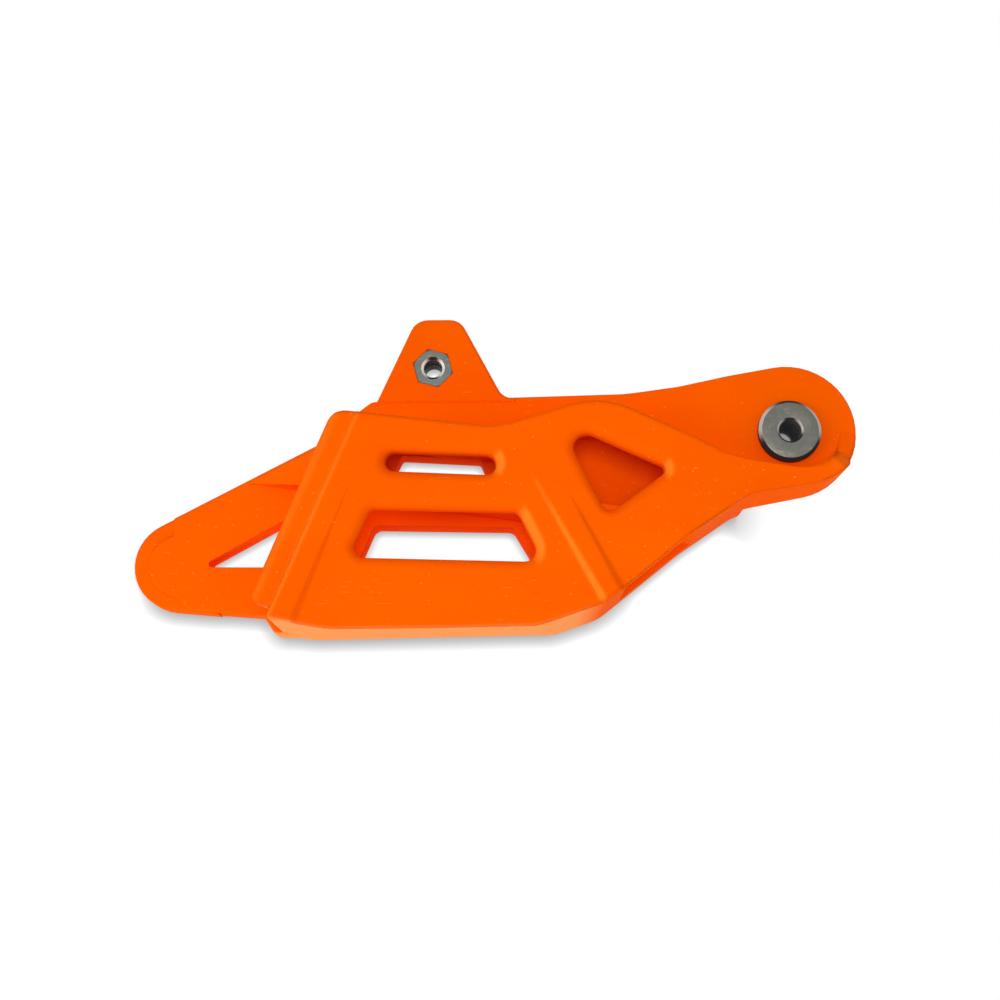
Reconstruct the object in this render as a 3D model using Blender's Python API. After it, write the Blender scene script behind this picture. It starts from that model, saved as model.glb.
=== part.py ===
"""Motorcycle chain guide: a one-piece moulded body, a flanged steel bush and a captive hex nut.

The guide lies on its inner face, as it comes to rest on a table.
+X runs from the chain inlet to the mounting arm, +Y from the chain run to the mounting ear,
+Z from the inner face (the swingarm side) to the outer face.
Outlines are drawn from a datum inside the chain run. All sizes are metres.
"""

import math

import bmesh
import bpy
from mathutils import Matrix, Vector

# Depths, all measured from the inner face
BODY_DEPTH = 0.034
FRONT_WALL = 0.005
BACK_WALL = 0.008
PAD_RIM_DEPTH = 0.0068
LEDGE_DEPTH = 0.0096
EAR_DEPTH = 0.010
ARM_FLOOR_DEPTH = 0.013
ARM_WALL = 0.0036
RIM_DEPTH = 0.0285

# Walls and edges
RIB_WALL = 0.004
EDGE_BREAK = 0.0006
RIDGE_RISE = 0.0013
SLOT_FLARE = 0.003

# Chain run: the mouth edge leans back, the roof falls gently towards the exit
MOUTH_X = -0.05015
MOUTH_ANGLE = math.radians(68.2)
ROOF_Y = 0.00035
ROOF_ANGLE = math.radians(-7.93)
BODY_BOTTOM = -0.0346
BOTTOM_DRAFT = 0.0019
BOTTOM_RISE = 0.022
LIP_WIDTH = 0.0069
LIP_ROLL = 0.0034
LIP_CORNER = 0.0062
LIP_STEP = 0.0004
LIP_DROP = 0.0014

# Mounting arm with its cup wall
BUSH_X = 0.0841
BUSH_Y = 0.0250
ARM_RISE = 0.0006
ARM_RADIUS = 0.0196
CUP_WALL = 0.0047
SEAT_RADIUS = 0.0096
ARM_BOSS_RADIUS = 0.0082

# Flanged bush
FLANGE_THICKNESS = 0.0027
BUSH_BORE = 0.0064
BUSH_OUTER = 0.0120
FLANGE_DIAMETER = 0.0183
FLANGE_CHAMFER = 0.0009
BORE_CHAMFER = 0.0006

# Mounting ear with its captive nut
EAR_X = -0.0199
EAR_Y = 0.0458
EAR_TOP = 0.0610
NUT_ACROSS_FLATS = 0.010
NUT_THICKNESS = 0.005
NUT_THREAD_BORE = 0.005
NUT_CHAMFER = 0.0068
NUT_TURN = math.radians(15.0)
EAR_HOLE = 0.0066

# End pad
PAD_X = -0.0928
PAD_Y = -0.0131
PAD_RADIUS = 0.01315
PAD_DISC_RADIUS = 0.009
PAD_SLOPE = math.radians(28.3)
PAD_BOTTOM_SLOPE = math.radians(-4.9)

# Fits and fineness
CLEARANCE = 0.0003
ARC_SAGITTA = 0.00005
TINY = 0.00002
ABOVE = 0.004

# Smaller features of the outline
LIP_END_Y = -0.0296
LEDGE_Y = 0.0367
CAVITY_END = 0.0585
RELIEF_START = 0.0705
RAMP_START = 0.040
RAMP_END_BEFORE_BUSH = 0.0170
RIM_FALL_START = -50.0
RIM_FALL_KNEE = -27.0
RIM_FALL_END = -2.0
RIM_KNEE_RISE = 0.0013

# Openings, as corners with their fillet radii
UPPER_SLOT = [
    (-0.0318, 0.00885, 0.0026),
    (-0.0012, 0.00765, 0.0026),
    (-0.0012, 0.01325, 0.0026),
    (-0.0318, 0.01435, 0.0026),
]
LOWER_SLOT = [
    (-0.0413, -0.0153, 0.0030),
    (0.0116, -0.0165, 0.0030),
    (0.0049, -0.0027, 0.0022),
    (-0.0356, -0.0018, 0.0022),
]
TRIANGLE = [
    (0.0294, -0.0036, 0.0025),
    (0.0471, 0.0094, 0.0017),
    (0.0158, 0.0240, 0.0040),
]
UPPER_SLOT_BACK = [
    (-0.0330, 0.0110, 0.0010),
    (-0.0022, 0.0098, 0.0010),
    (-0.0057, 0.0183, 0.0010),
    (-0.0288, 0.0195, 0.0010),
]
LOWER_SLOT_BACK = [
    (-0.0428, -0.0170, 0.0025),
    (0.0127, -0.0170, 0.0025),
    (0.0040, -0.0022, 0.0025),
    (-0.0364, -0.0016, 0.0025),
]
PAD_TRIANGLE = [
    (-0.0836, -0.0139, 0.0010),
    (-0.0565, -0.0139, 0.0020),
    (-0.0605, 0.0012, 0.0015),
    (-0.0846, -0.0126, 0.0010),
]

# Fields between the ridges of the front plate: top left, top right, low left and low right
# corner, and a point of the deepest line
MAIN_FIELD = (
    (-0.0406, 0.0065),
    (0.0077, 0.0094),
    (-0.0564, -0.0365),
    (0.0322, -0.0365),
    (0.0, -0.034),
)
END_FIELD = (
    (0.0181, 0.0036),
    (0.0550, -0.0075),
    (0.0368, -0.0297),
    (0.0620, -0.0290),
    (0.033, -0.0235),
)

# Fineness
FLARE_STEPS = 4
CREASE_ANGLE = math.radians(32)

ARM_BACK = ARM_FLOOR_DEPTH - ARM_WALL
BUSH_LENGTH = ARM_FLOOR_DEPTH + CLEARANCE + FLANGE_THICKNESS
FRONT_INNER = BODY_DEPTH - FRONT_WALL


def polar(x, y, radius, degrees):
    """Point at a radius and an angle from a centre."""
    angle = math.radians(degrees)
    return x + radius * math.cos(angle), y + radius * math.sin(angle)


def arc_corner(x, y, radius, start, end):
    """Corner whose fillet is the arc of a circle between two angles in degrees."""
    reach = radius / math.cos(math.radians(abs(end - start) / 2))
    return (*polar(x, y, reach, (start + end) / 2), radius)


def tangent(x, y, radius, point, side):
    """Angle in degrees at which a line from a point touches a circle, on one of its sides."""
    across, up = point[0] - x, point[1] - y
    opening = math.acos(radius / math.hypot(across, up))
    return math.degrees(math.atan2(up, across) + side * opening)


def beyond_tangent(x, y, radius, degrees, shift):
    """Corner further along the line that touches a circle at an angle."""
    reach = radius / math.cos(math.radians(shift))
    return (*polar(x, y, reach, degrees + shift), 0.0)


def mouth(y, inward=0.0):
    """X of the leaning mouth edge at a height, moved into the body."""
    return MOUTH_X + y / math.tan(MOUTH_ANGLE) + inward / math.sin(MOUTH_ANGLE)


def roof(x, above=0.0):
    """Y of the chain run's roof, or of a line parallel to it."""
    return ROOF_Y + x * math.tan(ROOF_ANGLE) + above / math.cos(ROOF_ANGLE)


def pad_top(x):
    """Y of the straight upper edge of the end pad."""
    rise = (PAD_RADIUS - 0.0001) / math.cos(PAD_SLOPE)
    return PAD_Y + rise + (x - PAD_X) * math.tan(PAD_SLOPE)


def tilted(origin, slope_x, slope_y):
    """Height of a plane through a point, with its two slopes."""

    def height(x, y):
        return origin[2] + (x - origin[0]) * slope_x + (y - origin[1]) * slope_y

    return height


def plane_through(first, second, third):
    """Height of the plane through three points."""
    normal = (Vector(second) - Vector(first)).cross(Vector(third) - Vector(first))
    return tilted(first, -normal.x / normal.z, -normal.y / normal.z)


# Outer outline of the body, anticlockwise from the lower inlet corner
EXIT_LOW = (0.0285, BODY_BOTTOM + 0.0065)
FLOOR_END = (0.0345, BODY_BOTTOM + 0.0113)
EXIT_HIGH = (0.0522, BODY_BOTTOM + 0.0256)
ARM_FOOT = (BUSH_X - 0.0149, BUSH_Y - 0.0223)
ARM_SHOULDER = (BUSH_X - 0.0316, BUSH_Y + 0.0146)
ARM_Y = BUSH_Y + ARM_RISE
ARM_LOW = tangent(BUSH_X, ARM_Y, ARM_RADIUS, ARM_FOOT, 1)
ARM_HIGH = tangent(BUSH_X, ARM_Y, ARM_RADIUS, ARM_SHOULDER, -1)
BODY_OUTLINE = [
    (mouth(BODY_BOTTOM + 0.0021), BODY_BOTTOM + 0.0021, 0.0012),
    (-0.0465, BODY_BOTTOM - 0.0007, 0.030),
    (0.0095, BODY_BOTTOM - 0.0001, 0.022),
    (*EXIT_LOW, 0.015),
    (*EXIT_HIGH, 0.010),
    (*ARM_FOOT, 0.014),
    arc_corner(BUSH_X, ARM_Y, ARM_RADIUS, ARM_LOW, 10),
    arc_corner(BUSH_X, ARM_Y, ARM_RADIUS, 10, ARM_HIGH),
    (*ARM_SHOULDER, 0.030),
    (0.0360, 0.0378, 0.030),
    (-0.0378, 0.0354, 0.004),
    (-0.0440, 0.0304, 0.0025),
    (mouth(0.0262) - 0.0033, 0.0266, 0.0),
    (mouth(0.0262), 0.0262, 0.0),
]

# Upper edge of the front plate, which runs on as the inner face of the cup wall
CUP_RADIUS = ARM_RADIUS - CUP_WALL
CREST = (0.0283, 0.0303, 0.024)
TROUGH = (-0.0010, 0.02105, 0.022)
UPPER_LEFT = (-0.0400, 0.0255)
UPPER_RIGHT = (BUSH_X - 0.0188, BUSH_Y - 0.0122, 0.025)


def pocket_outline():
    """Everything beyond the upper edge of the front plate and inside the cup wall."""
    slope = (UPPER_LEFT[1] - TROUGH[1]) / (UPPER_LEFT[0] - TROUGH[0])
    start = (UPPER_LEFT[0] - 0.030, UPPER_LEFT[1] - 0.030 * slope)
    touch = tangent(BUSH_X, ARM_Y, CUP_RADIUS, UPPER_RIGHT, 1)
    wall_end = beyond_tangent(BUSH_X, ARM_Y, CUP_RADIUS, RIM_FALL_END - 8, 8)
    outside = polar(BUSH_X, ARM_Y, ARM_RADIUS + 0.010, RIM_FALL_END + 2)
    return [
        (*start, 0.0),
        TROUGH,
        CREST,
        UPPER_RIGHT,
        arc_corner(BUSH_X, ARM_Y, CUP_RADIUS, touch, RIM_FALL_END - 8),
        wall_end,
        (*outside, 0.0),
        (outside[0], EAR_TOP + 0.010, 0.0),
        (start[0], EAR_TOP + 0.010, 0.0),
    ]


def edge_line(corner, following, offset=0.0):
    """Edge between two corners, moved outward: a point on it and its direction."""
    direction = (Vector(following[:2]) - Vector(corner[:2])).normalized()
    outward = Vector((direction.y, -direction.x))
    return Vector(corner[:2]) + outward * offset, direction


def crossing(first, second):
    """Where two lines cross."""
    (start, direction), (other, heading) = first, second
    along = (other - start).cross(heading) / direction.cross(heading)
    return start + direction * along


def arc_steps(radius, turn):
    """How many facets an arc needs to stay within the sagitta."""
    if radius <= ARC_SAGITTA:
        return 1
    facet = 2 * math.acos(1 - ARC_SAGITTA / radius)
    return max(2, math.ceil(abs(turn) / facet))


def rounded(corners, offset=0.0):
    """Closed anticlockwise outline with a fillet at each corner, moved outward by an offset."""
    count = len(corners)
    edges = [edge_line(corners[i], corners[(i + 1) % count], offset) for i in range(count)]
    points = []
    for index, (_, _, radius) in enumerate(corners):
        before, after = edges[index - 1], edges[index]
        apex = crossing(before, after)
        if radius == 0.0:
            points.append(apex)
            continue
        turn = math.atan2(before[1].cross(after[1]), before[1].dot(after[1]))
        side = math.copysign(1.0, turn)
        fillet = max(radius + side * offset, TINY)
        start = apex - before[1] * fillet * math.tan(abs(turn) / 2)
        spoke = Vector((before[1].y, -before[1].x)) * side * fillet
        centre = start - spoke
        steps = arc_steps(radius, turn)
        for step in range(steps + 1):
            points.append(centre + Matrix.Rotation(turn * step / steps, 2) @ spoke)
    return points


def link(name, body):
    """Object in the scene from a finished bmesh, with its faces turned out."""
    bmesh.ops.recalc_face_normals(body, faces=body.faces)
    mesh = bpy.data.meshes.new(name)
    body.to_mesh(mesh)
    body.free()
    made = bpy.data.objects.new(name, mesh)
    bpy.context.scene.collection.objects.link(made)
    return made


def loft(name, corners, levels, along_y=False):
    """Closed solid through one outline at several (height, offset) levels.

    A height is a number, or a plane for a slanted end. along_y stands the outline on edge,
    so that it is an XZ profile run along Y. A third entry of a level moves its outline.
    """
    body = bmesh.new()
    rings = []
    for height, offset, *drift in levels:
        move = Vector(drift[0]) if drift else Vector((0.0, 0.0))
        ring = []
        for point in rounded(corners, offset):
            point += move
            level = height(point.x, point.y) if callable(height) else height
            place = (point.x, level, point.y) if along_y else (point.x, point.y, level)
            ring.append(body.verts.new(place))
        rings.append(ring)
    for lower, upper in zip(rings, rings[1:]):
        for i in range(len(lower)):
            j = (i + 1) % len(lower)
            body.faces.new((lower[i], lower[j], upper[j], upper[i]))
    body.faces.new(rings[0])
    body.faces.new(rings[-1])
    bmesh.ops.remove_doubles(body, verts=body.verts, dist=1e-6)
    return link(name, body)


def slab(name, corners, low, high, breaks=EDGE_BREAK):
    """Plate with its outer edges broken at both faces."""
    levels = [(low, -breaks), (low + breaks, 0.0), (high - breaks, 0.0), (high, -breaks)]
    return loft(name, corners, levels)


def turned(name, profile, x, y, segments=48):
    """Ring turned about an upright axis from a closed (radius, height) profile."""
    body = bmesh.new()
    verts = [body.verts.new((radius, 0.0, height)) for radius, height in profile]
    edges = [body.edges.new((a, b)) for a, b in zip(verts, verts[1:] + verts[:1])]
    bmesh.ops.spin(
        body, geom=verts + edges, axis=(0, 0, 1), cent=(0, 0, 0), angle=math.tau, steps=segments
    )
    bmesh.ops.remove_doubles(body, verts=body.verts, dist=1e-6)
    made = link(name, body)
    made.data.transform(Matrix.Translation((x, y, 0.0)))
    return made


def disc(name, x, y, radius, low, high, segments=48):
    """Upright cylinder."""
    body = bmesh.new()
    bmesh.ops.create_cone(
        body, cap_ends=True, segments=segments, radius1=radius, radius2=radius, depth=high - low
    )
    made = link(name, body)
    made.data.transform(Matrix.Translation((x, y, (low + high) / 2)))
    return made


def hexagon(across_flats, turn):
    """Corners of a hexagon about the ear hole."""
    reach = across_flats / 2 / math.cos(math.pi / 6)
    step = math.degrees(turn)
    return [(*polar(EAR_X, EAR_Y, reach, step + 30 + 60 * i), 0.0) for i in range(6)]


def apply(target, tool, operation):
    """Boolean step on a target; the tool becomes a hidden helper."""
    tool.hide_render = True
    tool.display_type = "WIRE"
    step = target.modifiers.new(tool.name, "BOOLEAN")
    step.operation = operation
    step.object = tool


def join(target, *tools):
    """Fuse shapes onto a target."""
    for tool in tools:
        apply(target, tool, "UNION")


def cut(target, *tools):
    """Take shapes away from a target."""
    for tool in tools:
        apply(target, tool, "DIFFERENCE")


def keep(target, tool):
    """Keep only what lies inside a shape."""
    apply(target, tool, "INTERSECT")


def settle(target):
    """Turn the Boolean steps into one mesh, shaded smooth with sharp creases."""
    graph = bpy.context.evaluated_depsgraph_get()
    mesh = bpy.data.meshes.new_from_object(target.evaluated_get(graph))
    body = bmesh.new()
    body.from_mesh(mesh)
    bmesh.ops.remove_doubles(body, verts=body.verts, dist=1e-6)
    bmesh.ops.dissolve_limit(
        body, angle_limit=math.radians(0.05), verts=body.verts, edges=body.edges
    )
    body.to_mesh(mesh)
    body.free()
    mesh.shade_smooth()
    mesh.set_sharp_from_angle(angle=CREASE_ANGLE)
    target.modifiers.clear()
    target.data = mesh
    mesh.name = target.name


def flared(name, corners, low, surface):
    """Cutter for an opening whose entrance rounds over onto a surface plane."""
    levels = [(low, 0.0)]
    for step in range(FLARE_STEPS + 1):
        angle = math.radians(80) * step / FLARE_STEPS
        sink = SLOT_FLARE * (1 - math.sin(angle))
        offset = SLOT_FLARE * (1 - math.cos(angle))
        levels.append((lambda x, y, sink=sink: surface(x, y) - sink, offset))
    top_offset = levels[-1][1] + ABOVE / math.tan(math.radians(10))
    levels.append((lambda x, y: surface(x, y) + ABOVE, top_offset))
    return loft(name, corners, levels)


def meet(first, second, radius=0.0):
    """Corner where two lines cross."""
    point = crossing(first, second)
    return (point.x, point.y, radius)


def chain_run():
    """Channel that the chain runs through, open at the inlet and at the slanted exit."""
    left = PAD_X - 0.020
    right = EXIT_HIGH[0] + 0.018
    corners = [
        (left, BODY_BOTTOM + 0.0058, 0.0),
        (-0.0465, BODY_BOTTOM + RIB_WALL - 0.0003, 0.030),
        (0.0104, BODY_BOTTOM + RIB_WALL + 0.0004, 0.014),
        (EXIT_LOW[0] - 0.0018, EXIT_LOW[1] + RIB_WALL - 0.0004, 0.010),
        (FLOOR_END[0] - 0.0022, FLOOR_END[1] + 0.0034, 0.0),
        (FLOOR_END[0] + 0.0006, FLOOR_END[1] - 0.0012, 0.0),
        (right, FLOOR_END[1] - 0.0020, 0.0),
        (right, roof(right), 0.0),
        (left, roof(left), 0.0),
    ]
    return loft("chain_run", corners, [(BACK_WALL, 0.0), (FRONT_INNER, 0.0)])


def upper_cavity():
    """Hollow between the roof web and the top wall, behind the upper slot and the triangle."""
    web = edge_line((0.0, roof(0.0, RIB_WALL)), (0.01, roof(0.01, RIB_WALL)))
    lower_wall = edge_line(ARM_FOOT, EXIT_HIGH, RIB_WALL)
    top_left = edge_line(UPPER_LEFT, TROUGH, RIB_WALL)
    top_middle = edge_line(TROUGH, CREST, RIB_WALL)
    top_right = edge_line(CREST, UPPER_RIGHT, RIB_WALL)
    inlet = edge_line((mouth(0.0, RIB_WALL), 0.0), (mouth(0.01, RIB_WALL), 0.01))
    far_end = edge_line((CAVITY_END, 0.0), (CAVITY_END, 0.01))
    corners = [
        meet(inlet, web, 0.0015),
        meet(web, lower_wall, 0.0015),
        meet(lower_wall, far_end, 0.0015),
        meet(far_end, top_right, 0.0015),
        meet(top_right, top_middle, CREST[2] - RIB_WALL),
        meet(top_middle, top_left, TROUGH[2] + RIB_WALL),
        meet(top_left, inlet, 0.0015),
    ]
    return loft("upper_cavity", corners, [(BACK_WALL, 0.0), (FRONT_INNER, 0.0)])


def arm_pocket():
    """Space over the ledge and the arm, whose floor climbs from one to the other."""
    top = BODY_DEPTH + ABOVE
    pocket = loft(
        "arm_pocket",
        pocket_outline(),
        [
            (0.0, 0.0),
            (BODY_DEPTH - EDGE_BREAK, 0.0),
            (BODY_DEPTH + EDGE_BREAK, 2 * EDGE_BREAK),
            (top, 2 * EDGE_BREAK),
        ],
    )
    left = UPPER_LEFT[0] - 0.060
    right = BUSH_X + ARM_RADIUS + 0.020
    profile = [
        (left, LEDGE_DEPTH, 0.0),
        (RAMP_START, LEDGE_DEPTH, 0.020),
        (BUSH_X - RAMP_END_BEFORE_BUSH, ARM_FLOOR_DEPTH, 0.020),
        (right, ARM_FLOOR_DEPTH, 0.0),
        (right, top + ABOVE, 0.0),
        (left, top + ABOVE, 0.0),
    ]
    keep(pocket, loft("floor_profile", profile, [(-0.060, 0.0), (EAR_TOP + 0.030, 0.0)], along_y=True))
    return pocket


def front_slope():
    """Outer face falling from the front plate to the rim of the cup wall."""
    top = BODY_DEPTH + ABOVE
    left = EXIT_HIGH[0] - 0.022
    right = BUSH_X + ARM_RADIUS + 0.012
    profile = [
        (left, BODY_DEPTH + 0.00045, 0.0),
        (EXIT_HIGH[0], BODY_DEPTH - 0.00005, 0.120),
        (BUSH_X, RIM_DEPTH, 0.100),
        (right, RIM_DEPTH, 0.0),
        (right, top, 0.0),
        (left, top, 0.0),
    ]
    return loft("front_slope", profile, [(-0.040, 0.0), (EAR_TOP, 0.0)], along_y=True)


def rim_point(degrees, z):
    """Point over the middle of the cup wall."""
    return (*polar(BUSH_X, ARM_Y, ARM_RADIUS - CUP_WALL / 2, degrees), z)


def rim_drop():
    """End of the cup wall, which falls steeply from its rim and fades out into the arm's floor."""
    knee_depth = ARM_FLOOR_DEPTH + RIM_KNEE_RISE
    spans = [
        (RIM_FALL_START, RIM_DEPTH, RIM_FALL_KNEE, knee_depth),
        (RIM_FALL_KNEE, knee_depth, RIM_FALL_END, ARM_FLOOR_DEPTH),
    ]
    corners = [
        (*polar(BUSH_X, ARM_Y, CUP_RADIUS - 0.002, RIM_FALL_START - 6), 0.0),
        (*polar(BUSH_X, ARM_Y, ARM_RADIUS + 0.008, RIM_FALL_START - 6), 0.0),
        (*polar(BUSH_X, ARM_Y, ARM_RADIUS + 0.008, RIM_FALL_END + 4), 0.0),
        (*polar(BUSH_X, ARM_Y, CUP_RADIUS - 0.002, RIM_FALL_END + 4), 0.0),
    ]
    top = BODY_DEPTH + ABOVE
    drop = loft("rim_drop", corners, [(ARM_FLOOR_DEPTH, 0.0), (top, 0.0)])
    for start, start_depth, end, end_depth in spans:
        high = rim_point(start, start_depth)
        low = rim_point(end, end_depth)
        aside = polar(0.0, 0.0, 0.01, (start + end) / 2)
        fall = plane_through(high, low, (high[0] + aside[0], high[1] + aside[1], high[2]))
        keep(drop, loft("rim_plane", corners, [(fall, 0.0), (lambda x, y: fall(x, y) + 0.06, 0.0)]))
    return drop


def field_recess(name, top_left, top_right, low_left, low_right, deepest):
    """Shallow recess between the ridges: flush at its upper edge, deepest at the lower one."""
    surface = plane_through(
        (*top_left, BODY_DEPTH), (*top_right, BODY_DEPTH), (*deepest, BODY_DEPTH - RIDGE_RISE)
    )
    lift = 0.0015
    left = Vector(top_left) + (Vector(top_left) - Vector(low_left)).normalized() * lift
    right = Vector(top_right) + (Vector(top_right) - Vector(low_right)).normalized() * lift
    corners = [(*low_left, 0.0), (*low_right, 0.0), (*right, 0.0), (*left, 0.0)]
    levels = [(surface, 0.0), (lambda x, y: surface(x, y) + ABOVE, ABOVE)]
    return loft(name, corners, levels), surface


def bottom_draft():
    """Wedge that leans the underside of the moulding in towards the table."""
    rise = BOTTOM_RISE
    left, right = -0.080, 0.030
    low = BODY_BOTTOM - 0.0001
    inner = low + BOTTOM_DRAFT
    lean = plane_through(
        (0.0, low, BODY_DEPTH), (right, low + right * rise, BODY_DEPTH), (0.0, inner, 0.0)
    )
    corners = [
        (left, low - 0.004, 0.0),
        (right, low - 0.004, 0.0),
        (right, inner + right * rise, 0.0),
        (left, inner + left * rise, 0.0),
    ]
    return loft("bottom_draft", corners, [(-0.001, 0.0), (lean, 0.0)])


def lip():
    """Inlet lip: a plate in front of the mouth that rolls over and sinks away downwards."""
    lean = 1 / math.tan(MOUTH_ANGLE)
    stretch = 1 / math.sin(MOUTH_ANGLE)
    face = BODY_DEPTH - LIP_STEP
    flush_y = 0.012
    profile = [
        (-LIP_WIDTH * stretch, FRONT_INNER, 0.0008),
        (0.0012, FRONT_INNER, 0.0),
        (0.0012, face, 0.0),
        (-LIP_WIDTH * stretch, face, LIP_ROLL),
    ]
    stations = [
        (y, 0.0, (mouth(y), -sink))
        for y, sink in ((LIP_END_Y - 0.006, LIP_DROP), (flush_y, 0.0), (UPPER_LEFT[1] + 0.004, 0.0))
    ]
    run = loft("lip_run", profile, stations, along_y=True)
    outer = edge_line(
        (mouth(0.0, -LIP_WIDTH - TINY), 0.0), (mouth(0.0, -LIP_WIDTH - TINY) + lean, 1.0)
    )
    top = edge_line(UPPER_LEFT, TROUGH, TINY)
    end_x = mouth(LIP_END_Y)
    low = edge_line((end_x, LIP_END_Y), (end_x + 1.0, LIP_END_Y - lean))
    inner = edge_line((mouth(0.0, 0.001), 0.0), (mouth(0.0, 0.001) + lean, 1.0))
    plan = [
        meet(outer, low, 0.0030),
        meet(low, inner),
        meet(inner, top),
        meet(top, outer, LIP_CORNER),
    ]
    break_low = FRONT_INNER - 0.003
    trim = loft(
        "lip_trim", plan, [(break_low, 0.0), (BODY_DEPTH - 0.0009, 0.0), (BODY_DEPTH, -0.0009)]
    )
    keep(run, trim)
    return run


def roof_ramp():
    """Wedge that carries the roof web out over the pad and climbs towards the front plate."""
    tip = -0.0740
    climb = tilted((tip, 0.0, BACK_WALL), 0.46, 0.0)
    inside = mouth(0.012, 0.003)
    above = 0.0003
    ramp = loft(
        "roof_ramp",
        [
            (tip - 0.0006, roof(tip - 0.0006, above), 0.0),
            (inside, roof(inside, above), 0.0),
            (inside, roof(inside, 0.012), 0.0),
            (-0.0460, pad_top(-0.0460), 0.0),
        ],
        [(BACK_WALL - 0.0015, 0.0), (climb, 0.0)],
    )
    outer = Vector((math.cos(PAD_SLOPE), math.sin(PAD_SLOPE)))
    away = Vector((-outer.y, outer.x))
    start = Vector((-0.080, pad_top(-0.080))) - away * EDGE_BREAK
    end = start + outer * 0.060
    shave = [
        (*start, 0.0),
        (*end, 0.0),
        (*(end + away * 0.010), 0.0),
        (*(start + away * 0.010), 0.0),
    ]
    lean = 0.34
    height = FRONT_INNER - BACK_WALL
    levels = [(BACK_WALL - 0.002, -0.002 * lean), (BACK_WALL + height, height * lean)]
    cut(ramp, loft("ramp_shave", shave, levels))
    return ramp


def back_plates():
    """End pad with its raised disc and lower rim, and the mounting ear."""
    foot_x = -0.0667
    step_x = PAD_X - 0.0021
    pad = slab(
        "pad",
        [
            (step_x, pad_top(step_x), 0.0),
            beyond_tangent(PAD_X, PAD_Y, PAD_DISC_RADIUS, 110, -6),
            arc_corner(PAD_X, PAD_Y, PAD_DISC_RADIUS, 110, 180),
            arc_corner(PAD_X, PAD_Y, PAD_DISC_RADIUS, 180, 250),
            beyond_tangent(PAD_X, PAD_Y, PAD_DISC_RADIUS, 250, 16),
            (PAD_X + 0.0036, PAD_Y - PAD_RADIUS - 0.0001, 0.0),
            (foot_x - 0.0011, BODY_BOTTOM + 0.0066, 0.0010),
            (foot_x + 0.0024, BODY_BOTTOM + 0.0013, 0.0022),
            (-0.0500, BODY_BOTTOM + 0.0008, 0.0),
            (mouth(-0.020, 0.010), -0.020, 0.0),
            (mouth(0.020, 0.006), 0.020, 0.0),
            (mouth(0.0265, 0.001), pad_top(mouth(0.0265, 0.001)) - 0.0020, 0.0),
            (-0.0452, pad_top(-0.0452), 0.0),
        ],
        0.0,
        BACK_WALL,
        EDGE_BREAK,
    )
    top_angle = 90 + math.degrees(PAD_SLOPE)
    low_angle = 270 + math.degrees(PAD_BOTTOM_SLOPE)
    rim = slab(
        "pad_rim",
        [
            arc_corner(PAD_X, PAD_Y, PAD_RADIUS, top_angle, 190),
            arc_corner(PAD_X, PAD_Y, PAD_RADIUS, 190, low_angle),
            beyond_tangent(PAD_X, PAD_Y, PAD_RADIUS, low_angle, 45),
            beyond_tangent(PAD_X, PAD_Y, PAD_RADIUS, top_angle, -45),
        ],
        0.0,
        PAD_RIM_DEPTH,
        EDGE_BREAK,
    )
    ear = slab(
        "ear",
        [
            (EAR_X - 0.0167, LEDGE_Y - 0.0019, 0.0),
            (EAR_X + 0.0247, LEDGE_Y - 0.0016, 0.0),
            (EAR_X + 0.0247, LEDGE_Y, 0.0),
            (EAR_X + 0.0208, LEDGE_Y, 0.0045),
            (EAR_X + 0.0079, EAR_TOP + 0.0001, 0.0050),
            (EAR_X - 0.0052, EAR_TOP, 0.0055),
        ],
        0.0,
        EAR_DEPTH,
        EDGE_BREAK,
    )
    return pad, rim, ear


def arm_back():
    """Boss round the bush and the two ribs behind the arm."""
    top = ARM_BACK + 0.001
    pieces = [disc("arm_boss", BUSH_X, BUSH_Y, ARM_BOSS_RADIUS, 0.0, top)]
    for index, shift in enumerate((-0.0055, 0.0055)):
        low, high = BUSH_Y + shift - 0.0015, BUSH_Y + shift + 0.0015
        corners = [
            (RELIEF_START - 0.001, low, 0.0),
            (BUSH_X - 0.004, low, 0.0),
            (BUSH_X - 0.004, high, 0.0),
            (RELIEF_START - 0.001, high, 0.0),
        ]
        pieces.append(loft(f"arm_rib_{index + 1}", corners, [(0.0015, 0.0), (top, 0.0)]))
    return pieces


def plate_openings(front_field):
    """Slots and triangles through the front and the back plates."""
    flat = tilted((0.0, 0.0, BODY_DEPTH), 0.0, 0.0)
    start = FRONT_INNER - 0.001
    upper = flared("upper_slot", UPPER_SLOT, start, flat)
    lower = flared("lower_slot", LOWER_SLOT, start, front_field)
    triangle = flared("triangle", TRIANGLE, start, flat)
    through = [(-0.001, 0.0), (BACK_WALL + 0.001, 0.0)]
    back = [
        loft("upper_slot_back", UPPER_SLOT_BACK, through),
        loft("lower_slot_back", LOWER_SLOT_BACK, through),
        loft("pad_triangle", PAD_TRIANGLE, through),
    ]
    return [upper, lower, triangle, *back]


def fastener_seats():
    """Holes for the bush, the nut and its bolt."""
    eye = disc("arm_eye", BUSH_X, BUSH_Y, BUSH_OUTER / 2 + CLEARANCE, -0.001, ARM_FLOOR_DEPTH + 0.001)
    bolt = disc("ear_hole", EAR_X, EAR_Y, EAR_HOLE / 2, -0.001, EAR_DEPTH + 0.001, 36)
    floor = EAR_DEPTH - NUT_THICKNESS - CLEARANCE
    pocket = loft(
        "nut_pocket",
        hexagon(NUT_ACROSS_FLATS + 2 * CLEARANCE, NUT_TURN),
        [(floor, 0.0), (EAR_DEPTH + 0.001, 0.0)],
    )
    return eye, bolt, pocket


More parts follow.
